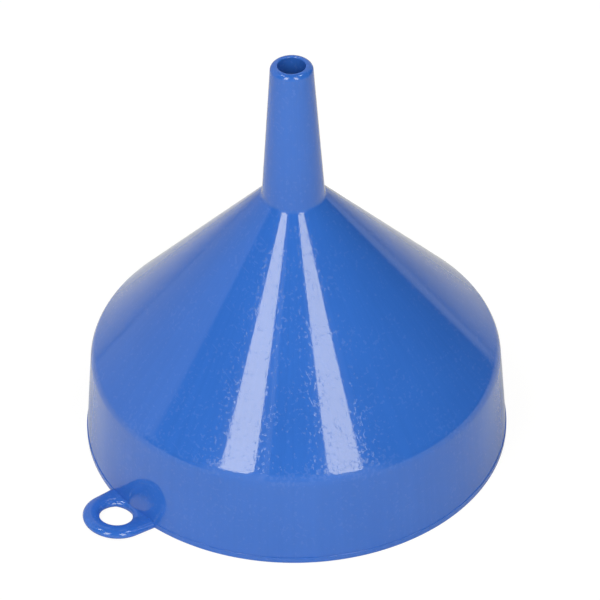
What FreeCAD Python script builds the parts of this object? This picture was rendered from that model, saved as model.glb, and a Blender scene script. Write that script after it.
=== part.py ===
"""Plastic funnel with a hanging ring, standing on its mouth with the spout up. Millimetres and degrees.

The funnel is one thin moulding. It is built here as the regions that it is made of, each a solid of its own
that meets its neighbours face to face: lip, band, shoulder, cone, neck, spout, tip and hanging ring.

Frame: the origin is the centre of the mouth, in the plane that the rim rests on. +Z runs up the funnel's axis
to the outlet, and the hanging ring points along -X.

Every region but the ring is a wall section turned about +Z. The section follows three straight walls, the band,
the cone and the spout, joined by two bends. Each wall leans inwards as it rises, and its lean is the angle
between its outward normal and the horizontal.
"""
import FreeCAD, Part
import math
import os
import Sketcher

# Driving dimensions, as sheet alias: number.
DRIVING = {
    "rim_radius": 60.0,          # outside of the lip, the widest circle of the mouth
    "total_height": 124.3,       # from the rim's resting plane to the top of the spout
    "wall": 2.0,                 # wall thickness, the same all over
    "lip_height": 2.0,
    "lip_step": 0.2,             # how far the lip stands proud of the band
    "lip_foot_round": 0.5,
    "lip_top_round": 0.12,
    "shoulder_height": 27.9,     # where the band and the cone would meet in a sharp edge
    "shoulder_bend": 6.0,        # outside radius of the bend that replaces that edge
    "neck_radius": 8.66,         # where the cone and the spout would meet in a sharp corner
    "neck_bend": 2.5,            # outside radius of the bend that replaces that corner
    "band_lean": 4.64,
    "cone_lean": 42.24,
    "spout_lean": 3.9,
    "tip_height": 3.0,           # the rounded end of the spout
    "tip_outer_round": 1.6,
    "tip_inner_round": 0.35,
    "ring_thickness": 2.8,
    "ring_tilt": 5.3,            # how steeply the ring rises outwards, nearly square to the band
    "ring_middle": 0.9,          # height of the ring's middle plane at the lip's outside
    "ring_centre": 64.8,         # centre of the ring's round end, from the funnel's axis
    "ring_radius": 9.55,
    "ring_flare": 3.5,           # how much each side spreads towards the funnel
    "ring_sunk": 56.0,           # how near to the axis the ring is drawn before its root is cut to the wall
    "ring_edge_round": 1.35,
    "ring_hole_centre": 65.12,   # the hole sits a little further out than the round end's centre
    "ring_hole_radius": 4.6,
    "ring_hole_round": 0.9,
    "root_margin": 5.0,          # how far the cut at the ring's root and underside reaches past the ring
}

# A ring whose root was cut keeps less than this share of its volume.
LEAST_ROOT_CUT = 0.95

# Derived lengths, as expressions of the sheet's cells. Angles there are plain numbers of degrees.
SHOULDER_RADIUS = (
    "(dims.rim_radius - dims.lip_step"
    " - (dims.shoulder_height - dims.lip_height) * tan(dims.band_lean))"
)
NECK_HEIGHT = f"(dims.shoulder_height + ({SHOULDER_RADIUS} - dims.neck_radius) / tan(dims.cone_lean))"
SHOULDER_RUN = "(dims.shoulder_bend * tan((dims.cone_lean - dims.band_lean) / 2))"
NECK_RUN = "(dims.neck_bend * tan((dims.cone_lean - dims.spout_lean) / 2))"
TIP_START = "(dims.total_height - dims.tip_height)"
BAND_INSET = "(dims.wall / cos(dims.band_lean))"
SPOUT_INSET = "(dims.wall / cos(dims.spout_lean))"


def make_sheet(doc):
    """Put the driving dimensions into the sheet, one row each, with their aliases."""
    sheet = doc.addObject("Spreadsheet::Sheet", "dims")
    for row, (alias, number) in enumerate(DRIVING.items(), start=1):
        sheet.set(f"A{row}", alias)
        sheet.set(f"B{row}", str(number))
        sheet.setAlias(f"B{row}", alias)
    doc.recompute()
    return sheet


# ---- points of the wall section, each a pair of expressions: radius and height


def band_outside(height):
    """The band's outer surface at a height."""
    return f"dims.rim_radius - dims.lip_step - ({height} - dims.lip_height) * tan(dims.band_lean)", height


def spout_outside(height):
    """The spout's outer surface at a height."""
    return f"dims.neck_radius - ({height} - {NECK_HEIGHT}) * tan(dims.spout_lean)", height


def moved_in(point, inset):
    """The same height, nearer to the axis by an inset."""
    return f"{point[0]} - {inset}", point[1]


def along_wall(corner, run, lean):
    """A point up a wall from a corner, by a run that is negative below the corner."""
    return f"{corner[0]} - {run} * sin({lean})", f"{corner[1]} + {run} * cos({lean})"


def across_wall(point, lean):
    """The point on the inner surface straight across the wall from one on the outer surface."""
    return f"{point[0]} - dims.wall * cos({lean})", f"{point[1]} - dims.wall * sin({lean})"


SHOULDER_CORNER = (SHOULDER_RADIUS, "dims.shoulder_height")
NECK_CORNER = ("dims.neck_radius", NECK_HEIGHT)
BAND_END = along_wall(SHOULDER_CORNER, f"-{SHOULDER_RUN}", "dims.band_lean")
CONE_START = along_wall(SHOULDER_CORNER, SHOULDER_RUN, "dims.cone_lean")
CONE_END = along_wall(NECK_CORNER, f"-{NECK_RUN}", "dims.cone_lean")
SPOUT_START = along_wall(NECK_CORNER, NECK_RUN, "dims.spout_lean")


# ---- bodies and sketches


def make_body(doc, label):
    """An empty body; its label is the sub-part's name."""
    body = doc.addObject("PartDesign::Body", label)
    body.Label = label
    body.Placement = FreeCAD.Placement()
    return body


def make_sketch(body, name, plane_role):
    """A sketch on one of the body's own origin planes."""
    sketch = body.newObject("Sketcher::SketchObject", name)
    plane = next(item for item in body.Origin.OriginFeatures if item.Role == plane_role)
    sketch.AttachmentSupport = [(plane, "")]
    sketch.MapMode = "FlatFace"
    return sketch


def number_of(sketch, expression):
    """The present value of an expression."""
    return float(sketch.evalExpression(expression))


def bind(sketch, constraint, name, expression):
    """Add a constraint and let an expression drive it."""
    index = sketch.addConstraint(constraint)
    sketch.renameConstraint(index, name)
    sketch.setExpression(f"Constraints.{name}", expression)


def pin_vertex(sketch, edge, end, name, point):
    """Hold the end of an edge at a point given as two expressions."""
    for axis, expression in zip("XY", point):
        distance = Sketcher.Constraint(f"Distance{axis}", -1, 1, edge, end, number_of(sketch, expression))
        bind(sketch, distance, f"{name}_{axis.lower()}", expression)


def arc_between(centre, start, end):
    """The arc that runs anticlockwise from start to end about a centre."""
    circle = Part.Circle(centre, FreeCAD.Vector(0, 0, 1), (start - centre).Length)
    return Part.ArcOfCircle(circle, circle.parameter(start), circle.parameter(end))


def wall_edge(start, end, centre):
    """A straight edge, or an arc if there is a centre, and which of its ends is the start and which the end.

    A sketch keeps its arcs anticlockwise, so one that runs clockwise is made backwards.
    """
    if centre is None:
        return Part.LineSegment(start, end), 1, 2
    if (start - centre).cross(end - centre).z > 0:
        return arc_between(centre, start, end), 1, 2
    return arc_between(centre, end, start), 2, 1


def turn(body, sketch):
    """Turn a section about the funnel's axis."""
    solid = body.newObject("PartDesign::Revolution", f"{body.Label}_turned")
    solid.Profile = sketch
    solid.ReferenceAxis = (sketch, ["V_Axis"])
    solid.Angle = 360.0
    sketch.Visibility = False
    body.Tip = solid
    body.Document.recompute()
    return solid


def wall_region(doc, label, foot, top, bend=None):
    """A ring of wall between two cuts across it, each given as its outer and its inner point.

    A bent region also has a bend: its outside radius, its inside radius, and 1 if it bends about a centre inside
    the wall or -1 if the centre is outside.
    """
    body = make_body(doc, label)
    sketch = make_sketch(body, f"{label}_section", "XZ_Plane")
    corners = {"outer_foot": foot[0], "outer_top": top[0], "inner_top": top[1], "inner_foot": foot[1]}
    spots = [FreeCAD.Vector(number_of(sketch, r), number_of(sketch, z), 0) for r, z in corners.values()]
    centre = None
    if bend is not None:
        inwards = (spots[3] - spots[0]).normalize()
        centre = spots[0] + inwards * number_of(sketch, bend[0]) * bend[2]
    edges = [
        wall_edge(spots[0], spots[1], centre),
        wall_edge(spots[1], spots[2], None),
        wall_edge(spots[2], spots[3], centre),
        wall_edge(spots[3], spots[0], None),
    ]
    for edge, _, _ in edges:
        sketch.addGeometry(edge, False)
    for index, (_, _, last) in enumerate(edges):
        following = (index + 1) % len(edges)
        sketch.addConstraint(Sketcher.Constraint("Coincident", index, last, following, edges[following][1]))
    for index, (name, corner) in enumerate(corners.items()):
        pin_vertex(sketch, index, edges[index][1], name, corner)
    if bend is not None:
        for index, name, radius in ((0, "outer_bend", bend[0]), (2, "inner_bend", bend[1])):
            bind(sketch, Sketcher.Constraint("Radius", index, number_of(sketch, radius)), name, radius)
    turn(body, sketch)
    return body


def round_edges(body, name, chosen, radius):
    """Round the edges of the body's last feature that a test chooses."""
    base = body.Tip
    names = [f"Edge{n}" for n, edge in enumerate(base.Shape.Edges, start=1) if chosen(edge)]
    fillet = body.newObject("PartDesign::Fillet", f"{body.Label}_{name}")
    fillet.Base = (base, names)
    fillet.setExpression("Radius", radius)
    body.Tip = fillet
    body.Document.recompute()
    return fillet


def is_circle_at(edge, height, low_radius, high_radius):
    """Whether an edge is a full circle about the axis at a height, with a radius in a range."""
    if not isinstance(edge.Curve, Part.Circle) or not edge.Closed:
        return False
    level = abs(edge.Curve.Center.z - height) < 1e-4
    return level and low_radius < edge.Curve.Radius < high_radius


# ---- the regions


def make_rim_lip(doc):
    """The edge of the mouth: plain outside, standing a little proud of the band, with its foot rounded."""
    foot_inside = moved_in(band_outside("0"), BAND_INSET)
    top_inside = moved_in(band_outside("dims.lip_height"), BAND_INSET)
    body = wall_region(
        doc, "rim_lip",
        (("dims.rim_radius", "0"), foot_inside),
        (("dims.rim_radius", "dims.lip_height"), top_inside),
    )
    outside = DRIVING["rim_radius"]
    round_edges(
        body, "foot", lambda e: is_circle_at(e, 0, outside - 0.01, outside + 0.01), "dims.lip_foot_round"
    )
    top = DRIVING["lip_height"]
    round_edges(
        body, "top", lambda e: is_circle_at(e, top, outside - 0.01, outside + 0.01), "dims.lip_top_round"
    )
    return body


def make_rim_band(doc):
    """The collar: a nearly straight wall from the lip to where the shoulder starts to bend."""
    foot = band_outside("dims.lip_height")
    return wall_region(
        doc, "rim_band",
        (foot, moved_in(foot, BAND_INSET)),
        (BAND_END, across_wall(BAND_END, "dims.band_lean")),
    )


def make_shoulder(doc):
    """The convex bend from the band to the cone."""
    return wall_region(
        doc, "shoulder",
        (BAND_END, across_wall(BAND_END, "dims.band_lean")),
        (CONE_START, across_wall(CONE_START, "dims.cone_lean")),
        bend=("dims.shoulder_bend", "dims.shoulder_bend - dims.wall", 1),
    )


def make_cone(doc):
    """The conical bowl between the two bends."""
    return wall_region(
        doc, "cone",
        (CONE_START, across_wall(CONE_START, "dims.cone_lean")),
        (CONE_END, across_wall(CONE_END, "dims.cone_lean")),
    )


def make_neck(doc):
    """The concave bend from the cone to the spout."""
    return wall_region(
        doc, "neck",
        (CONE_END, across_wall(CONE_END, "dims.cone_lean")),
        (SPOUT_START, across_wall(SPOUT_START, "dims.spout_lean")),
        bend=("dims.neck_bend", "dims.neck_bend + dims.wall", -1),
    )


def make_spout(doc):
    """The tapered tube from the neck to the tip."""
    top = spout_outside(TIP_START)
    return wall_region(
        doc, "spout",
        (SPOUT_START, across_wall(SPOUT_START, "dims.spout_lean")),
        (top, moved_in(top, SPOUT_INSET)),
    )


def make_spout_tip(doc):
    """The end of the tube, rounded outside and eased at the outlet."""
    foot = spout_outside(TIP_START)
    top = spout_outside("dims.total_height")
    body = wall_region(
        doc, "spout_tip",
        (foot, moved_in(foot, SPOUT_INSET)),
        (top, moved_in(top, SPOUT_INSET)),
    )
    height = DRIVING["total_height"]
    sketch = body.Group[0]
    middle = number_of(sketch, top[0]) - DRIVING["wall"] / 2
    round_edges(
        body, "outer", lambda e: is_circle_at(e, height, middle, middle * 2), "dims.tip_outer_round"
    )
    round_edges(
        body, "outlet", lambda e: is_circle_at(e, height, 0, middle), "dims.tip_inner_round"
    )
    return body


def tilt_ring_sketch(sketch):
    """Lay a sketch of the ring's plan in the ring's middle plane, tilted about the lip's outermost point."""
    sketch.AttachmentOffset = FreeCAD.Placement(
        FreeCAD.Vector(0, 0, 0), FreeCAD.Rotation(FreeCAD.Vector(0, 1, 0), DRIVING["ring_tilt"])
    )
    offset = {
        "Base.x": "dims.rim_radius * (cos(dims.ring_tilt) - 1)",
        "Base.z": "dims.ring_middle - dims.rim_radius * sin(dims.ring_tilt)",
        "Rotation.Angle": "dims.ring_tilt",
    }
    for place, expression in offset.items():
        sketch.setExpression(f"AttachmentOffset.{place}", expression)
    sketch.recompute()


def ring_outline(body):
    """The eyelet's plan: a round end, two sides that spread a little, and a chord inside the wall."""
    sketch = make_sketch(body, "hanging_ring_outline", "XY_Plane")
    tilt_ring_sketch(sketch)
    middle = FreeCAD.Vector(-DRIVING["ring_centre"], 0, 0)
    flare = math.radians(DRIVING["ring_flare"])
    radius = DRIVING["ring_radius"]
    widening = "(dims.ring_centre - dims.ring_sunk) * sin(dims.ring_flare)"
    half_chord = f"((dims.ring_radius + {widening}) / cos(dims.ring_flare))"
    high = middle + FreeCAD.Vector(-math.sin(flare), math.cos(flare), 0) * radius
    high_root = FreeCAD.Vector(-DRIVING["ring_sunk"], number_of(sketch, half_chord), 0)
    low, low_root = (FreeCAD.Vector(point.x, -point.y, 0) for point in (high, high_root))
    sketch.addGeometry(arc_between(middle, high, low), False)
    sketch.addGeometry(Part.LineSegment(low, low_root), False)
    sketch.addGeometry(Part.LineSegment(low_root, high_root), False)
    sketch.addGeometry(Part.LineSegment(high_root, high), False)
    sketch.addConstraint(Sketcher.Constraint("Tangent", 0, 2, 1, 1))
    sketch.addConstraint(Sketcher.Constraint("Coincident", 1, 2, 2, 1))
    sketch.addConstraint(Sketcher.Constraint("Coincident", 2, 2, 3, 1))
    sketch.addConstraint(Sketcher.Constraint("Tangent", 3, 2, 0, 1))
    sketch.addConstraint(Sketcher.Constraint("PointOnObject", 0, 3, -1))
    bind(sketch, Sketcher.Constraint("Radius", 0, radius), "round_end", "dims.ring_radius")
    centre = Sketcher.Constraint("DistanceX", 0, 3, -1, 1, DRIVING["ring_centre"])
    bind(sketch, centre, "round_end_centre", "dims.ring_centre")
    pin_vertex(sketch, 2, 1, "low_root", ("-dims.ring_sunk", f"-{half_chord}"))
    pin_vertex(sketch, 2, 2, "high_root", ("-dims.ring_sunk", half_chord))
    return sketch


def hole_sketch(body):
    """The circle of the hanging hole."""
    sketch = make_sketch(body, "hanging_ring_hole", "XY_Plane")
    tilt_ring_sketch(sketch)
    centre = FreeCAD.Vector(-DRIVING["ring_hole_centre"], 0, 0)
    circle = Part.Circle(centre, FreeCAD.Vector(0, 0, 1), DRIVING["ring_hole_radius"])
    sketch.addGeometry(circle, False)
    sketch.addConstraint(Sketcher.Constraint("PointOnObject", 0, 3, -1))
    bind(sketch, Sketcher.Constraint("Radius", 0, circle.Radius), "hole", "dims.ring_hole_radius")
    distance = Sketcher.Constraint("DistanceX", 0, 3, -1, 1, DRIVING["ring_hole_centre"])
    bind(sketch, distance, "hole_centre", "dims.ring_hole_centre")
    return sketch


def root_section(body):
    """What the ring leaves free: under the resting plane, and inside the lip's edge, its step and the band."""
    sketch = make_sketch(body, "hanging_ring_root", "XZ_Plane")
    inwards = "dims.ring_sunk - dims.root_margin"
    outwards = "dims.ring_centre + dims.ring_radius + dims.root_margin"
    above = "dims.lip_height + dims.root_margin"
    corners = {
        "low_inside": (inwards, "-dims.root_margin"),
        "low_outside": (outwards, "-dims.root_margin"),
        "ground_outside": (outwards, "0"),
        "lip_foot": ("dims.rim_radius", "0"),
        "lip_top": ("dims.rim_radius", "dims.lip_height"),
        "band_foot": band_outside("dims.lip_height"),
        "band_top": band_outside(f"({above})"),
        "high_inside": (inwards, above),
    }
    spots = [FreeCAD.Vector(number_of(sketch, r), number_of(sketch, z), 0) for r, z in corners.values()]
    count = len(spots)
    for index, spot in enumerate(spots):
        sketch.addGeometry(Part.LineSegment(spot, spots[(index + 1) % count]), False)
    for index in range(count):
        sketch.addConstraint(Sketcher.Constraint("Coincident", index, 2, (index + 1) % count, 1))
    for index, (name, corner) in enumerate(corners.items()):
        pin_vertex(sketch, index, 1, name, corner)
    return sketch


def cut_root(body):
    """Cut the ring's root to the wall, which it meets face to face, and its underside to the resting plane."""
    before = body.Shape.Volume
    groove = body.newObject("PartDesign::Groove", "hanging_ring_root_cut")
    sketch = root_section(body)
    groove.Profile = sketch
    groove.ReferenceAxis = (sketch, ["V_Axis"])
    groove.Angle = 360.0
    body.Tip = groove
    body.Document.recompute()
    if body.Shape.Volume > before * LEAST_ROOT_CUT:
        raise RuntimeError("the ring's root wasn't cut")


def make_hanging_ring(doc):
    """The eyelet on the rim: a thick plate with a round end and full edges, rising a little outwards."""
    body = make_body(doc, "hanging_ring")
    plate = body.newObject("PartDesign::Pad", "hanging_ring_plate")
    outline = ring_outline(body)
    plate.Profile = outline
    plate.SideType = "Symmetric"
    plate.setExpression("Length", "dims.ring_thickness")
    body.Tip = plate
    doc.recompute()
    hole = body.newObject("PartDesign::Pocket", "hanging_ring_bore")
    hole.Profile = hole_sketch(body)
    hole.Type = "ThroughAll"
    hole.SideType = "Symmetric"
    body.Tip = hole
    doc.recompute()
    to_plan = outline.Placement.inverse()
    chord = -DRIVING["ring_sunk"]

    def is_level(edge):
        heights = [to_plan.multVec(vertex.Point).z for vertex in edge.Vertexes]
        return max(heights) - min(heights) < 1e-4

    def is_outline(edge):
        on_chord = all(abs(to_plan.multVec(vertex.Point).x - chord) < 1e-4 for vertex in edge.Vertexes)
        return is_level(edge) and not edge.Closed and not on_chord

    def is_hole(edge):
        return is_level(edge) and edge.Closed

    round_edges(body, "outline_round", is_outline, "dims.ring_edge_round")
    round_edges(body, "hole_round", is_hole, "dims.ring_hole_round")
    cut_root(body)
    return body


# ---- checks and output


def check_document(doc, bodies):
    """Stop if an object failed to build or a sub-part isn't one valid solid."""
    for item in doc.Objects:
        if "Invalid" in item.State or "Error" in item.State:
            raise RuntimeError(f"{item.Label} failed: {item.State}")
    for body in bodies:
        shape = body.Shape
        if shape.isNull() or not shape.isValid() or len(shape.Solids) != 1:
            raise RuntimeError(f"{body.Label} is not one valid solid")


def main():
    doc = FreeCAD.newDocument("funnel")
    make_sheet(doc)
    makers = (
        make_rim_lip, make_rim_band, make_shoulder, make_cone,
        make_neck, make_spout, make_spout_tip, make_hanging_ring,
    )
    bodies = [make(doc) for make in makers]
    doc.recompute()
    check_document(doc, bodies)
    os.makedirs("parts", exist_ok=True)
    for body in bodies:
        body.Shape.exportStep(f"parts/{body.Label}.step")
        box = body.Shape.BoundBox
        print(
            f"{body.Label}: {body.Shape.Volume / 1000:.3f} cm3,"
            f" z {box.ZMin:.2f} to {box.ZMax:.2f}, x {box.XMin:.2f} to {box.XMax:.2f}"
        )


main()
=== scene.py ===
"""Looks of the blue plastic funnel: its wall regions as fine turned shells, its hanging ring as a moulded
eyelet, one glossy plastic, and the studio that it stands in. Metres; the frame is the CAD model's."""
import math

import bmesh
import bpy
from mathutils import Matrix, Vector


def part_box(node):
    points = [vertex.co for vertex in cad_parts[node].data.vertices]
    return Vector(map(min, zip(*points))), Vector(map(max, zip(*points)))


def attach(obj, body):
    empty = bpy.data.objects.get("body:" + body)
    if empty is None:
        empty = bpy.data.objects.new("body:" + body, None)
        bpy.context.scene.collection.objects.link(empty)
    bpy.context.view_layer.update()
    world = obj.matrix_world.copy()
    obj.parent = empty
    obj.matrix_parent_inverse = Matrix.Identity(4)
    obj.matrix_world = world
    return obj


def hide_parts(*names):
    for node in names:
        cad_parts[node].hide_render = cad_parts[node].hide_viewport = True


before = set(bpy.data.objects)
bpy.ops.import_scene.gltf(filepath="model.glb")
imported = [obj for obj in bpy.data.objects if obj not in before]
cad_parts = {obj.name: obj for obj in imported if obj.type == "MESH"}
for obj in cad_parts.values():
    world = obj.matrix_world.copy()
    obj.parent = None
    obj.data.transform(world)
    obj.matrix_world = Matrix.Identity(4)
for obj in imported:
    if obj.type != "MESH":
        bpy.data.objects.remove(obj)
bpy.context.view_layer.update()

MM = 0.001

# The funnel's own dimensions, as in its CAD source.
RIM_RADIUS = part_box("rim_lip")[1].y
TOTAL_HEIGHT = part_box("spout_tip")[1].z
LIP_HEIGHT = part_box("rim_lip")[1].z
TIP_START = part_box("spout_tip")[0].z
WALL = 2.0 * MM
LIP_STEP = 0.2 * MM
LIP_FOOT_ROUND = 0.5 * MM
LIP_TOP_ROUND = 0.12 * MM
SHOULDER_HEIGHT = 27.9 * MM
SHOULDER_BEND = 6.0 * MM
NECK_RADIUS = 8.66 * MM
NECK_BEND = 2.5 * MM
BAND_LEAN = math.radians(4.64)
CONE_LEAN = math.radians(42.24)
SPOUT_LEAN = math.radians(3.9)
TIP_OUTER_ROUND = 1.6 * MM
TIP_INNER_ROUND = 0.35 * MM

# The hanging ring, which points along -X and rises a little outwards. Its plan is measured in its own
# tilted plane. The fullness is the exponent of its section: 2 is an ellipse, and more is squarer. Its root
# runs on into the wall, as far as the sunk radius.
RING_THICKNESS = 2.8 * MM
RING_TILT = math.radians(5.3)
RING_MIDDLE = 0.9 * MM
RING_CENTRE = 64.8 * MM
RING_RADIUS = 9.55 * MM
RING_FLARE = math.radians(3.5)
RING_FULLNESS = 2.2
HOLE_CENTRE = 65.12 * MM
HOLE_RADIUS = 4.6 * MM
SUNK_RADIUS = 58.1 * MM

# Mesh fineness. The ring's lowest points are flattened at its foot, just over the resting plane.
SEGMENTS = 320
ARC_STEP = math.radians(5)
STRAIGHT_STEP = 2.5 * MM
RING_STEP = 0.12 * MM
RING_ROWS = 48
RING_FOOT = 0.03 * MM
MERGE_DISTANCE = 0.0005 * MM

# The studio. The camera's azimuth is anticlockwise from +X, seen from above. All the other azimuths are
# turned with the studio, so that the camera stands at -90. Angles are in degrees.
CAMERA_AZIMUTH = -129.1
CAMERA_ELEVATION = 38.04
CAMERA_DISTANCE = 1.0060
CAMERA_TARGET = Vector((0.0, 0.0, 0.060))
CAMERA_AIM_RIGHT = 1.567 * MM
CAMERA_AIM_UP = -12.14 * MM
CAMERA_ROLL = 0.83
CAMERA_LENS = 218.4
CAMERA_SENSOR = 36.0
STUDIO_CAMERA_AZIMUTH = -90.0
STUDIO_TURN = CAMERA_AZIMUTH - STUDIO_CAMERA_AZIMUTH

# Softboxes, by name: azimuth, radiance.
SOFTBOXES = {"softbox_left": (-123.5, 8.7), "softbox_right": (-63.5, 8.0)}
SOFTBOX_ELEVATION = 43.0
SOFTBOX_DISTANCE = 1.2
SOFTBOX_WIDTH = 0.307
SOFTBOX_HEIGHT = 0.87
SOFTBOX_TINT = (1.0, 0.93, 0.66)

# What the plastic mirrors besides the softboxes. Upright panels: azimuth, half width, edge softness,
# height of the top as an elevation, radiance.
STUDIO_PANELS = (
    (113.0, 74.0, 4.0, 57.0, 0.66),
    (-108.0, 1.6, 1.2, 57.0, 0.6),
    (-123.5, 14.0, 8.0, 57.0, 0.4),
    (-63.5, 14.0, 8.0, 57.0, 0.4),
    (-90.0, 45.0, 30.0, 33.0, 0.6),
)
PANEL_TOP_SOFTNESS = 25.0
STUDIO_DARK = 0.03
# Round lamps overhead: azimuth, elevation, radius, radiance. The softness is a share of the radius.
STUDIO_LAMPS = (
    (170.0, 66.0, 5.5, 12.0),
    (10.0, 66.0, 5.5, 12.0),
)
LAMP_SOFTNESS = 0.2

FLOOR_RADIUS = 4.0
FLOOR_SEGMENTS = 96
FLOOR_GAP = 0.02 * MM
FLOOR_COLOUR = (0.81, 0.82, 0.83)
FLOOR_SHADE = (0.1, 0.1, 0.1)
FLOOR_GLOW = 0.93
WHITE = (1.0, 1.0, 1.0, 1.0)

# The plastic. Scales are in lumps to the metre, heights and depths in metres. Edges are the two noise
# values between which a pattern fades in.
DEEP_BLUE = (0.0250, 0.119, 0.550)
PALE_BLUE = (0.0285, 0.130, 0.590)
WORN_BLUE = (0.30, 0.42, 0.85)
PLASTIC_IOR = 1.5
ROUGHNESS_RANGE = (0.03, 0.055)
CLOUD_SCALE = 35.0
CLOUD_SHARE = 0.6
STREAK_SHARE = 0.4
TONE_EDGES = (0.30, 0.70)
STREAK_TURN_RATE = 42.0
STREAK_RISE_RATE = 14.0
STREAK_HEIGHT = 0.0015 * MM
PEEL_SCALE = 260.0
PEEL_HEIGHT = 0.006 * MM
GRAIN_SCALE = 1800.0
GRAIN_HEIGHT = 0.0006 * MM
GRAIN_EDGES = (0.3, 0.7)
HAIRLINE_CELLS = (900.0, 60.0, 60.0)
HAIRLINE_CORE = 0.05
HAIRLINE_EDGE = 0.12
HAIRLINE_TURNS = ((0.3, 0.2, 0.5), (0.1, 0.9, 1.3), (0.8, -0.5, 2.2), (-0.4, 0.6, 2.9))
HAIRLINE_SHIFT = 7.3
HAIRLINE_DEPTH = 0.009 * MM
SCRATCH_PATCHES = 60.0
SCRATCH_EDGES = (0.42, 0.62)
SCUFF_LOW = 22.0 * MM
SCUFF_MIDDLE = 28.5 * MM
SCUFF_HIGH = 34.0 * MM
SCUFF_ELSEWHERE = 0.45         # how much of the shoulder's scuffing the rest of the wall has
SCUFF_PATCHES = 90.0
SCUFF_PATCH_EDGES = (0.36, 0.60)
SCUFF_GAIN = 0.12
SPECK_SCALE = 1100.0
SPECK_EDGES = (0.62, 0.70)
SPECK_DEPTH = 0.009 * MM
WEAR_PALENESS = 0.05
WEAR_ROUGHNESS = 0.10

# Sockets of Blender's Mix node when it mixes colours.
MIX_SHARE, MIX_FIRST, MIX_SECOND, MIX_RESULT = 0, 6, 7, 2


# ---- wall sections
# A section is a closed chain of runs, and a run is a list of (radius, height, normal angle).


def line_run(start, end):
    """A straight run, cut into even steps, with one normal all along: to the right of the way it goes."""
    length = math.dist(start, end)
    normal = math.atan2(start[0] - end[0], end[1] - start[1])
    pieces = max(1, round(length / STRAIGHT_STEP))
    points = []
    for i in range(pieces + 1):
        t = i / pieces
        points.append((start[0] + (end[0] - start[0]) * t, start[1] + (end[1] - start[1]) * t, normal))
    return points


def arc_run(centre, radius, start_angle, end_angle, hollow=False):
    """A round run. The normal points away from the centre, or towards it on a hollow bend."""
    pieces = max(2, math.ceil(abs(end_angle - start_angle) / ARC_STEP))
    points = []
    for i in range(pieces + 1):
        angle = start_angle + (end_angle - start_angle) * i / pieces
        normal = angle + math.pi if hollow else angle
        points.append((centre[0] + radius * math.cos(angle), centre[1] + radius * math.sin(angle), normal))
    return points


def turned_normal(turn, tilt):
    """The normal of a turned surface, at a turn about +Z and a tilt up from the horizontal."""
    flat = math.cos(tilt)
    return flat * math.cos(turn), flat * math.sin(turn), math.sin(tilt)


def turned_mesh(name, runs):
    """A closed shell: a section turned about +Z, with exact normals, so that neighbours meet unseen."""
    mesh = bpy.data.meshes.new(name)
    vertices, faces, normals = [], [], []
    ring_count = sum(len(run) - 1 for run in runs)
    turns = [2 * math.pi * j / SEGMENTS for j in range(SEGMENTS)]
    for run in runs:
        for radius, height, _ in run[:-1]:
            vertices += [(radius * math.cos(a), radius * math.sin(a), height) for a in turns]
    row = 0
    for run in runs:
        for i in range(len(run) - 1):
            this_row, next_row = row, (row + 1) % ring_count
            for j in range(SEGMENTS):
                k = (j + 1) % SEGMENTS
                faces.append((
                    this_row * SEGMENTS + j, this_row * SEGMENTS + k,
                    next_row * SEGMENTS + k, next_row * SEGMENTS + j,
                ))
                for turn, point in ((j, run[i]), (k, run[i]), (k, run[i + 1]), (j, run[i + 1])):
                    normals.append(turned_normal(turns[turn], point[2]))
            row += 1
    mesh.from_pydata(vertices, [], faces)
    mesh.shade_smooth()
    mesh.normals_split_custom_set(normals)
    return mesh


def finish_piece(mesh, node_name, material):
    """Put a mesh into the scene as the piece that stands for a CAD node."""
    mesh.materials.append(material)
    piece = bpy.data.objects.new(f"{node_name}_shell", mesh)
    bpy.context.scene.collection.objects.link(piece)
    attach(piece, "root")
    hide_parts(node_name)


# ---- the wall's own points


def band_radius(height):
    """The band's outer radius at a height."""
    return RIM_RADIUS - LIP_STEP - (height - LIP_HEIGHT) * math.tan(BAND_LEAN)


SHOULDER_RADIUS = band_radius(SHOULDER_HEIGHT)
NECK_HEIGHT = SHOULDER_HEIGHT + (SHOULDER_RADIUS - NECK_RADIUS) / math.tan(CONE_LEAN)
SHOULDER_RUN = SHOULDER_BEND * math.tan((CONE_LEAN - BAND_LEAN) / 2)
NECK_RUN = NECK_BEND * math.tan((CONE_LEAN - SPOUT_LEAN) / 2)


def spout_radius(height):
    """The spout's outer radius at a height."""
    return NECK_RADIUS - (height - NECK_HEIGHT) * math.tan(SPOUT_LEAN)


def along(corner, run, lean):
    """A point up the wall from a corner, or down it where the run is negative."""
    return corner[0] - run * math.sin(lean), corner[1] + run * math.cos(lean)


def inside(point, lean):
    """The point straight across the wall from one on its outer surface."""
    return point[0] - WALL * math.cos(lean), point[1] - WALL * math.sin(lean)


def level_inside(point, lean):
    """The inner surface at the same height as a point of the outer one."""
    return point[0] - WALL / math.cos(lean), point[1]


SHOULDER_CORNER = (SHOULDER_RADIUS, SHOULDER_HEIGHT)
NECK_CORNER = (NECK_RADIUS, NECK_HEIGHT)
BAND_FOOT = (band_radius(LIP_HEIGHT), LIP_HEIGHT)
BAND_END = along(SHOULDER_CORNER, -SHOULDER_RUN, BAND_LEAN)
CONE_START = along(SHOULDER_CORNER, SHOULDER_RUN, CONE_LEAN)
CONE_END = along(NECK_CORNER, -NECK_RUN, CONE_LEAN)
SPOUT_START = along(NECK_CORNER, NECK_RUN, SPOUT_LEAN)
SPOUT_END = (spout_radius(TIP_START), TIP_START)


def straight_region(foot, top, foot_inside, top_inside):
    """A region with straight walls: outside upwards, across, inside downwards, across."""
    corners = [foot, top, top_inside, foot_inside]
    return [line_run(start, end) for start, end in zip(corners, corners[1:] + corners[:1])]


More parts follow.
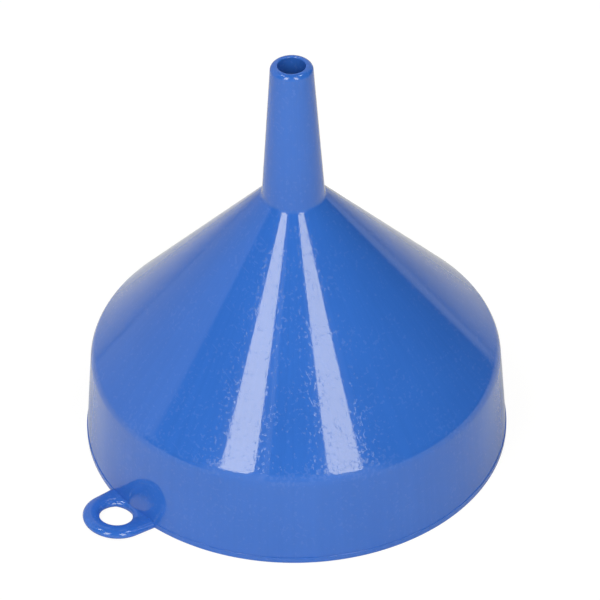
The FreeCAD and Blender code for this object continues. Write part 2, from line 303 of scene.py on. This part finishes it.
def bent_region(foot, top, foot_lean, top_lean, centre, outer_radius, inner_radius, hollow):
    """A region that bends from one lean to another about a centre."""
    turn = math.pi if hollow else 0.0
    outer = arc_run(centre, outer_radius, foot_lean + turn, top_lean + turn, hollow)
    inner = arc_run(centre, inner_radius, top_lean + turn, foot_lean + turn, not hollow)
    return [
        outer,
        line_run(top, inside(top, top_lean)),
        inner,
        line_run(inside(foot, foot_lean), foot),
    ]


def rim_lip_runs():
    """The lip: resting face, rounded foot, upright edge, and the small step back to the band."""
    foot_inside = level_inside((band_radius(0.0), 0.0), BAND_LEAN)
    top_inside = level_inside(BAND_FOOT, BAND_LEAN)
    foot_centre = (RIM_RADIUS - LIP_FOOT_ROUND, LIP_FOOT_ROUND)
    top_centre = (RIM_RADIUS - LIP_TOP_ROUND, LIP_HEIGHT - LIP_TOP_ROUND)
    return [
        line_run(foot_inside, (foot_centre[0], 0.0)),
        arc_run(foot_centre, LIP_FOOT_ROUND, -math.pi / 2, 0.0),
        line_run((RIM_RADIUS, foot_centre[1]), (RIM_RADIUS, top_centre[1])),
        arc_run(top_centre, LIP_TOP_ROUND, 0.0, math.pi / 2),
        line_run((top_centre[0], LIP_HEIGHT), top_inside),
        line_run(top_inside, foot_inside),
    ]


def spout_tip_runs():
    """The end of the spout: rounded outside, eased at the outlet."""
    foot_inside = level_inside(SPOUT_END, SPOUT_LEAN)
    outer_z = TOTAL_HEIGHT - TIP_OUTER_ROUND
    outer_top = spout_radius(TOTAL_HEIGHT)
    outer_r = outer_top - TIP_OUTER_ROUND * (1 - math.sin(SPOUT_LEAN)) / math.cos(SPOUT_LEAN)
    outer_centre = (outer_r, outer_z)
    inner_z = TOTAL_HEIGHT - TIP_INNER_ROUND
    inner_top = outer_top - WALL / math.cos(SPOUT_LEAN)
    inner_r = inner_top + TIP_INNER_ROUND * (1 + math.sin(SPOUT_LEAN)) / math.cos(SPOUT_LEAN)
    inner_centre = (inner_r, inner_z)
    outer = arc_run(outer_centre, TIP_OUTER_ROUND, SPOUT_LEAN, math.pi / 2)
    inner = arc_run(inner_centre, TIP_INNER_ROUND, math.pi / 2, math.pi + SPOUT_LEAN)
    return [
        line_run(SPOUT_END, outer[0][:2]),
        outer,
        line_run(outer[-1][:2], inner[0][:2]),
        inner,
        line_run(inner[-1][:2], foot_inside),
        line_run(foot_inside, SPOUT_END),
    ]


def wall_sections():
    """Every turned region's section, by the name of its node."""
    shoulder_centre = (
        BAND_END[0] - SHOULDER_BEND * math.cos(BAND_LEAN),
        BAND_END[1] - SHOULDER_BEND * math.sin(BAND_LEAN),
    )
    neck_centre = (
        CONE_END[0] + NECK_BEND * math.cos(CONE_LEAN),
        CONE_END[1] + NECK_BEND * math.sin(CONE_LEAN),
    )
    return {
        "rim_lip": rim_lip_runs(),
        "rim_band": straight_region(
            BAND_FOOT, BAND_END, level_inside(BAND_FOOT, BAND_LEAN), inside(BAND_END, BAND_LEAN)
        ),
        "shoulder": bent_region(
            BAND_END, CONE_START, BAND_LEAN, CONE_LEAN,
            shoulder_centre, SHOULDER_BEND, SHOULDER_BEND - WALL, False,
        ),
        "cone": straight_region(
            CONE_START, CONE_END, inside(CONE_START, CONE_LEAN), inside(CONE_END, CONE_LEAN)
        ),
        "neck": bent_region(
            CONE_END, SPOUT_START, CONE_LEAN, SPOUT_LEAN,
            neck_centre, NECK_BEND, NECK_BEND + WALL, True,
        ),
        "spout": straight_region(
            SPOUT_START, SPOUT_END, inside(SPOUT_START, SPOUT_LEAN), level_inside(SPOUT_END, SPOUT_LEAN)
        ),
        "spout_tip": spout_tip_runs(),
    }


# ---- the hanging ring


def flat_arc(centre, radius, start, end):
    """Points along an arc in plan, without its last one."""
    pieces = max(2, math.ceil(abs(end - start) * radius / RING_STEP))
    angles = [start + (end - start) * i / pieces for i in range(pieces)]
    return [Vector((centre.x + radius * math.cos(a), centre.y + radius * math.sin(a))) for a in angles]


def flat_line(start, end):
    """Points along a straight line in plan, without its last one."""
    pieces = max(1, math.ceil((end - start).length / RING_STEP))
    return [start.lerp(end, i / pieces) for i in range(pieces)]


def ring_outline():
    """The eyelet's outline in plan, anticlockwise: round end, side, stretch sunk in the wall, side."""
    middle = Vector((-RING_CENTRE, 0.0))
    start = math.pi / 2 + RING_FLARE
    top = middle + Vector((math.cos(start), math.sin(start))) * RING_RADIUS
    side = Vector((math.cos(RING_FLARE), math.sin(RING_FLARE)))
    inwards = top.dot(side)
    run = -inwards - math.sqrt(inwards**2 - top.length_squared + SUNK_RADIUS**2)
    sunk = top + side * run
    sunk_angle = math.atan2(sunk.y, sunk.x)
    low_top, low_sunk = Vector((top.x, -top.y)), Vector((sunk.x, -sunk.y))
    points = flat_arc(middle, RING_RADIUS, start, 2 * math.pi - start)
    points += flat_line(low_top, low_sunk)
    points += flat_arc(Vector((0.0, 0.0)), SUNK_RADIUS, 2 * math.pi - sunk_angle, sunk_angle)
    points += flat_line(sunk, top)
    return points


def ring_place(point, height):
    """From the eyelet's own plane, and a height over its middle, to the funnel's frame."""
    out = -point.x - RIM_RADIUS
    x = -RIM_RADIUS - out * math.cos(RING_TILT) + height * math.sin(RING_TILT)
    z = RING_MIDDLE + out * math.sin(RING_TILT) + height * math.cos(RING_TILT)
    return x, point.y, max(z, RING_FOOT)


def ring_column(point):
    """One section of the eyelet: from the hole's waist over the top to the outline, and back beneath."""
    hole_middle = Vector((-HOLE_CENTRE, 0.0))
    away = (point - hole_middle).normalized()
    waist = hole_middle + away * HOLE_RADIUS
    upper, lower = [], []
    for i in range(RING_ROWS + 1):
        across = -math.cos(math.pi * i / RING_ROWS)
        height = RING_THICKNESS / 2 * math.sqrt(max(0.0, 1.0 - abs(across) ** RING_FULLNESS))
        spot = waist.lerp(point, (across + 1) / 2)
        upper.append(ring_place(spot, height))
        lower.append(ring_place(spot, -height))
    return upper + lower[-2:0:-1]


def ring_mesh():
    """The eyelet as a closed grid of sections round its hole."""
    outline = ring_outline()
    count = len(outline)
    columns = [ring_column(point) for point in outline]
    rows = len(columns[0])
    vertices = [spot for column in columns for spot in column]
    faces = []
    for i in range(count):
        this_column, next_column = i * rows, (i + 1) % count * rows
        for j in range(rows):
            k = (j + 1) % rows
            faces.append((this_column + j, this_column + k, next_column + k, next_column + j))
    mesh = bpy.data.meshes.new("hanging_ring_shell")
    mesh.from_pydata(vertices, [], faces)
    tidy_mesh(mesh)
    mesh.shade_smooth()
    return mesh


def tidy_mesh(mesh):
    """Turn every face outwards and drop points that coincide."""
    edit = bmesh.new()
    edit.from_mesh(mesh)
    bmesh.ops.remove_doubles(edit, verts=edit.verts, dist=MERGE_DISTANCE)
    bmesh.ops.recalc_face_normals(edit, faces=edit.faces)
    edit.to_mesh(mesh)
    edit.free()


# ---- nodes


def empty_tree(owner):
    """The node tree of a material or world, with nothing in it."""
    owner.use_nodes = True
    owner.node_tree.nodes.clear()
    return owner.node_tree


def node(tree, kind, inputs=None, **settings):
    """A node with its own settings; an input is set to a number or colour, or linked to an output."""
    made = tree.nodes.new(kind)
    for name, setting in settings.items():
        setattr(made, name, setting)
    for key, value in (inputs or {}).items():
        if isinstance(value, bpy.types.NodeSocket):
            tree.links.new(value, made.inputs[key])
        else:
            made.inputs[key].default_value = value
    return made


def calc(tree, operation, *terms):
    """The result of a sum of numbers and outputs."""
    return node(tree, "ShaderNodeMath", dict(enumerate(terms)), operation=operation).outputs[0]


def ease(tree, value, start, end, low=0.0, high=1.0):
    """A value turned smoothly from low at the start to high at the end."""
    inputs = {"Value": value, "From Min": start, "From Max": end, "To Min": low, "To Max": high}
    return node(tree, "ShaderNodeMapRange", inputs, interpolation_type="SMOOTHSTEP").outputs["Result"]


def noise(tree, place, scale, detail=2.0):
    """Soft noise from 0 to 1, with so many lumps to the metre."""
    inputs = {"Vector": place, "Scale": scale, "Detail": detail}
    return node(tree, "ShaderNodeTexNoise", inputs).outputs["Fac"]


def mix_colours(tree, share, first, second):
    """A colour that goes from the first to the second as the share goes from 0 to 1."""
    inputs = {MIX_SHARE: share, MIX_FIRST: first, MIX_SECOND: second}
    return node(tree, "ShaderNodeMix", inputs, data_type="RGBA").outputs[MIX_RESULT]


def round_and_up(tree, place, turn_rate, rise_rate):
    """Coordinates that follow the funnel's wall: round the axis at one rate and up it at another."""
    level = {0: place, 1: (1.0, 1.0, 0.0)}
    flat = node(tree, "ShaderNodeVectorMath", level, operation="MULTIPLY").outputs[0]
    heading = node(tree, "ShaderNodeVectorMath", {0: flat}, operation="NORMALIZE").outputs[0]
    around = node(tree, "ShaderNodeVectorMath", {0: heading, 3: turn_rate}, operation="SCALE").outputs[0]
    inputs = {0: place, 1: (0.0, 0.0, rise_rate), 2: around}
    return node(tree, "ShaderNodeVectorMath", inputs, operation="MULTIPLY_ADD").outputs[0]


# ---- the plastic


def hairlines(tree, place, turn, seed):
    """Fine straight scratches that lie one way: thin slices of stretched cells."""
    inputs = {"Vector": place, "Rotation": turn, "Scale": HAIRLINE_CELLS, "Location": (seed, seed, seed)}
    cells = node(tree, "ShaderNodeMapping", inputs).outputs[0]
    inputs = {"Vector": cells, "Scale": 1.0}
    distance = node(tree, "ShaderNodeTexVoronoi", inputs, feature="F1").outputs["Distance"]
    return ease(tree, distance, HAIRLINE_CORE, HAIRLINE_EDGE, 1.0, 0.0)


def scratches(tree, place):
    """Hairlines in several directions, where handling has left them."""
    total = 0.0
    for seed, turn in enumerate(HAIRLINE_TURNS):
        total = calc(tree, "MAXIMUM", total, hairlines(tree, place, turn, HAIRLINE_SHIFT * seed))
    patches = ease(tree, noise(tree, place, SCRATCH_PATCHES), *SCRATCH_EDGES)
    return calc(tree, "MULTIPLY", total, patches)


def scuffs(tree, place):
    """Small dents and dull specks, scattered over the wall and thick on the shoulder, where it rubs."""
    height = node(tree, "ShaderNodeSeparateXYZ", {0: place}).outputs["Z"]
    below = ease(tree, height, SCUFF_LOW, SCUFF_MIDDLE)
    above = ease(tree, height, SCUFF_MIDDLE, SCUFF_HIGH, 1.0, 0.0)
    belt = calc(tree, "MAXIMUM", calc(tree, "MINIMUM", below, above), SCUFF_ELSEWHERE)
    patches = ease(tree, noise(tree, place, SCUFF_PATCHES), *SCUFF_PATCH_EDGES)
    more = calc(tree, "MULTIPLY", calc(tree, "MULTIPLY", belt, patches), SCUFF_GAIN)
    specks = calc(tree, "ADD", noise(tree, place, SPECK_SCALE, detail=3.0), more)
    return ease(tree, specks, *SPECK_EDGES)


def blue_plastic():
    """Glossy moulded polypropylene: deep blue with faint tone clouds and flow streaks up the wall, a soft
    orange peel in the gloss, hairline scratches, and small dents that are thickest on the shoulder."""
    material = bpy.data.materials.new("glossy_blue_plastic")
    tree = empty_tree(material)
    place = node(tree, "ShaderNodeTexCoord").outputs["Object"]
    cloud = noise(tree, place, CLOUD_SCALE)
    streak = noise(tree, round_and_up(tree, place, STREAK_TURN_RATE, STREAK_RISE_RATE), 1.0, detail=3.0)
    peel = noise(tree, place, PEEL_SCALE, detail=1.0)
    grain = noise(tree, place, GRAIN_SCALE, detail=3.0)
    scratch = scratches(tree, place)
    scuff = scuffs(tree, place)
    worn = calc(tree, "MAXIMUM", scratch, scuff)

    clouded = calc(tree, "MULTIPLY", cloud, CLOUD_SHARE)
    streaked = calc(tree, "MULTIPLY", streak, STREAK_SHARE)
    tone = calc(tree, "ADD", clouded, streaked)
    blue = mix_colours(tree, ease(tree, tone, *TONE_EDGES), (*DEEP_BLUE, 1.0), (*PALE_BLUE, 1.0))
    colour = mix_colours(tree, calc(tree, "MULTIPLY", worn, WEAR_PALENESS), blue, (*WORN_BLUE, 1.0))

    moulded = ease(tree, grain, *GRAIN_EDGES, *ROUGHNESS_RANGE)
    roughness = calc(tree, "ADD", moulded, calc(tree, "MULTIPLY", worn, WEAR_ROUGHNESS))
    relief = calc(tree, "MULTIPLY", peel, PEEL_HEIGHT)
    layers = (
        (streak, STREAK_HEIGHT), (grain, GRAIN_HEIGHT), (scratch, -HAIRLINE_DEPTH), (scuff, -SPECK_DEPTH),
    )
    for layer, height in layers:
        relief = calc(tree, "MULTIPLY_ADD", layer, height, relief)
    bump = node(tree, "ShaderNodeBump", {"Height": relief, "Distance": 1.0, "Strength": 1.0}).outputs[0]

    inputs = {"Base Color": colour, "Roughness": roughness, "Normal": bump, "IOR": PLASTIC_IOR}
    plastic = node(tree, "ShaderNodeBsdfPrincipled", inputs)
    node(tree, "ShaderNodeOutputMaterial", {"Surface": plastic.outputs["BSDF"]})
    return material


# ---- the studio


def studio_direction(azimuth, elevation):
    """The unit vector towards a studio azimuth and an elevation."""
    a, e = math.radians(azimuth + STUDIO_TURN), math.radians(elevation)
    return Vector((math.cos(a) * math.cos(e), math.sin(a) * math.cos(e), math.sin(e)))


def make_camera():
    """The camera, which leans a little and aims past its target by the two aim values."""
    back = studio_direction(STUDIO_CAMERA_AZIMUTH, CAMERA_ELEVATION)
    right = Vector((0.0, 0.0, 1.0)).cross(back).normalized()
    up = back.cross(right)
    roll = math.radians(CAMERA_ROLL)
    leaned_right = right * math.cos(roll) - up * math.sin(roll)
    leaned_up = up * math.cos(roll) + right * math.sin(roll)
    place = CAMERA_TARGET + back * CAMERA_DISTANCE
    aim = CAMERA_TARGET + leaned_right * CAMERA_AIM_RIGHT + leaned_up * CAMERA_AIM_UP
    axis = (place - aim).normalized()
    side = leaned_up.cross(axis).normalized()
    turned = Matrix((side, axis.cross(side), axis)).transposed().to_4x4()
    camera = bpy.data.objects.new("camera", bpy.data.cameras.new("camera"))
    camera.matrix_world = Matrix.Translation(place) @ turned
    camera.data.lens = CAMERA_LENS
    camera.data.sensor_width = CAMERA_SENSOR
    bpy.context.scene.collection.objects.link(camera)
    bpy.context.scene.camera = camera


def make_softbox(name, azimuth, radiance):
    """A tall softbox that faces the funnel."""
    light = bpy.data.lights.new(name, "AREA")
    light.shape = "RECTANGLE"
    light.size = SOFTBOX_WIDTH
    light.size_y = SOFTBOX_HEIGHT
    light.energy = radiance * math.pi * SOFTBOX_WIDTH * SOFTBOX_HEIGHT
    light.color = SOFTBOX_TINT
    softbox = bpy.data.objects.new(name, light)
    direction = studio_direction(azimuth, SOFTBOX_ELEVATION)
    softbox.location = direction * SOFTBOX_DISTANCE + CAMERA_TARGET
    softbox.rotation_euler = direction.to_track_quat("Z", "Y").to_euler()
    softbox.visible_camera = False
    bpy.context.scene.collection.objects.link(softbox)


def make_floor():
    """A wide pale floor, white to the camera, that keeps a faint shadow."""
    mesh = bpy.data.meshes.new("floor")
    edit = bmesh.new()
    bmesh.ops.create_circle(edit, cap_ends=True, radius=FLOOR_RADIUS, segments=FLOOR_SEGMENTS)
    edit.to_mesh(mesh)
    edit.free()
    floor = bpy.data.objects.new("floor", mesh)
    floor.location.z = -FLOOR_GAP
    bpy.context.scene.collection.objects.link(floor)
    material = bpy.data.materials.new("floor_paper")
    tree = empty_tree(material)
    camera_ray = node(tree, "ShaderNodeLightPath").outputs["Is Camera Ray"]
    paper = node(tree, "ShaderNodeBsdfDiffuse", {"Color": (*FLOOR_COLOUR, 1.0)}).outputs[0]
    shade = node(tree, "ShaderNodeBsdfDiffuse", {"Color": (*FLOOR_SHADE, 1.0)}).outputs[0]
    glow = node(tree, "ShaderNodeEmission", {"Color": WHITE, "Strength": FLOOR_GLOW}).outputs[0]
    seen = node(tree, "ShaderNodeAddShader", {0: shade, 1: glow}).outputs[0]
    mix = node(tree, "ShaderNodeMixShader", {0: camera_ray, 1: paper, 2: seen}).outputs[0]
    node(tree, "ShaderNodeOutputMaterial", {"Surface": mix})
    mesh.materials.append(material)


def panel_mask(tree, axes, azimuth, half_width, softness, top):
    """1 in the directions of an upright panel, and 0 elsewhere."""
    a = math.radians(azimuth + STUDIO_TURN)
    cos_a, sin_a = math.cos(a), math.sin(a)
    x, y = axes.outputs["X"], axes.outputs["Y"]
    ahead = calc(tree, "ADD", calc(tree, "MULTIPLY", x, cos_a), calc(tree, "MULTIPLY", y, sin_a))
    aside = calc(tree, "SUBTRACT", calc(tree, "MULTIPLY", y, cos_a), calc(tree, "MULTIPLY", x, sin_a))
    off = calc(tree, "ABSOLUTE", calc(tree, "ARCTAN2", aside, ahead))
    near, far = (math.radians(half_width + side * softness / 2) for side in (-1, 1))
    low, high = (math.sin(math.radians(top + side * PANEL_TOP_SOFTNESS / 2)) for side in (-1, 1))
    width_mask = ease(tree, off, near, far, 1.0, 0.0)
    return calc(tree, "MULTIPLY", width_mask, ease(tree, axes.outputs["Z"], low, high, 1.0, 0.0))


def make_world():
    """A dark studio with a broad pale backdrop, soft panels and lamps; the camera sees plain white."""
    world = bpy.data.worlds.new("studio")
    bpy.context.scene.world = world
    tree = empty_tree(world)
    direction = node(tree, "ShaderNodeTexCoord").outputs["Generated"]
    axes = node(tree, "ShaderNodeSeparateXYZ", {0: direction})
    total = STUDIO_DARK
    for *panel, radiance in STUDIO_PANELS:
        total = calc(tree, "MULTIPLY_ADD", panel_mask(tree, axes, *panel), radiance, total)
    for azimuth, elevation, radius, radiance in STUDIO_LAMPS:
        inputs = {0: direction, 1: studio_direction(azimuth, elevation)}
        nearness = node(tree, "ShaderNodeVectorMath", inputs, operation="DOT_PRODUCT").outputs["Value"]
        edge, core = (math.cos(math.radians(radius * (1 + side * LAMP_SOFTNESS))) for side in (1, -1))
        total = calc(tree, "ADD", total, ease(tree, nearness, edge, core, 0.0, radiance))
    room = node(tree, "ShaderNodeBackground", {"Color": WHITE, "Strength": total}).outputs[0]
    white = node(tree, "ShaderNodeBackground", {"Color": WHITE, "Strength": 1.0}).outputs[0]
    camera_ray = node(tree, "ShaderNodeLightPath").outputs["Is Camera Ray"]
    mix = node(tree, "ShaderNodeMixShader", {0: camera_ray, 1: room, 2: white}).outputs[0]
    node(tree, "ShaderNodeOutputWorld", {"Surface": mix})


def set_view():
    """Plain display colours."""
    view = bpy.context.scene.view_settings
    view.view_transform = "Standard"
    view.look = "None"
    view.exposure = 0.0
    view.gamma = 1.0


def main():
    """Make the pieces, the studio and the view."""
    plastic = blue_plastic()
    for name, runs in wall_sections().items():
        mesh = turned_mesh(f"{name}_shell", runs)
        finish_piece(mesh, name, plastic)
    finish_piece(ring_mesh(), "hanging_ring", plastic)
    make_camera()
    make_floor()
    make_world()
    for name, (azimuth, radiance) in SOFTBOXES.items():
        make_softbox(name, azimuth, radiance)
    set_view()


main()
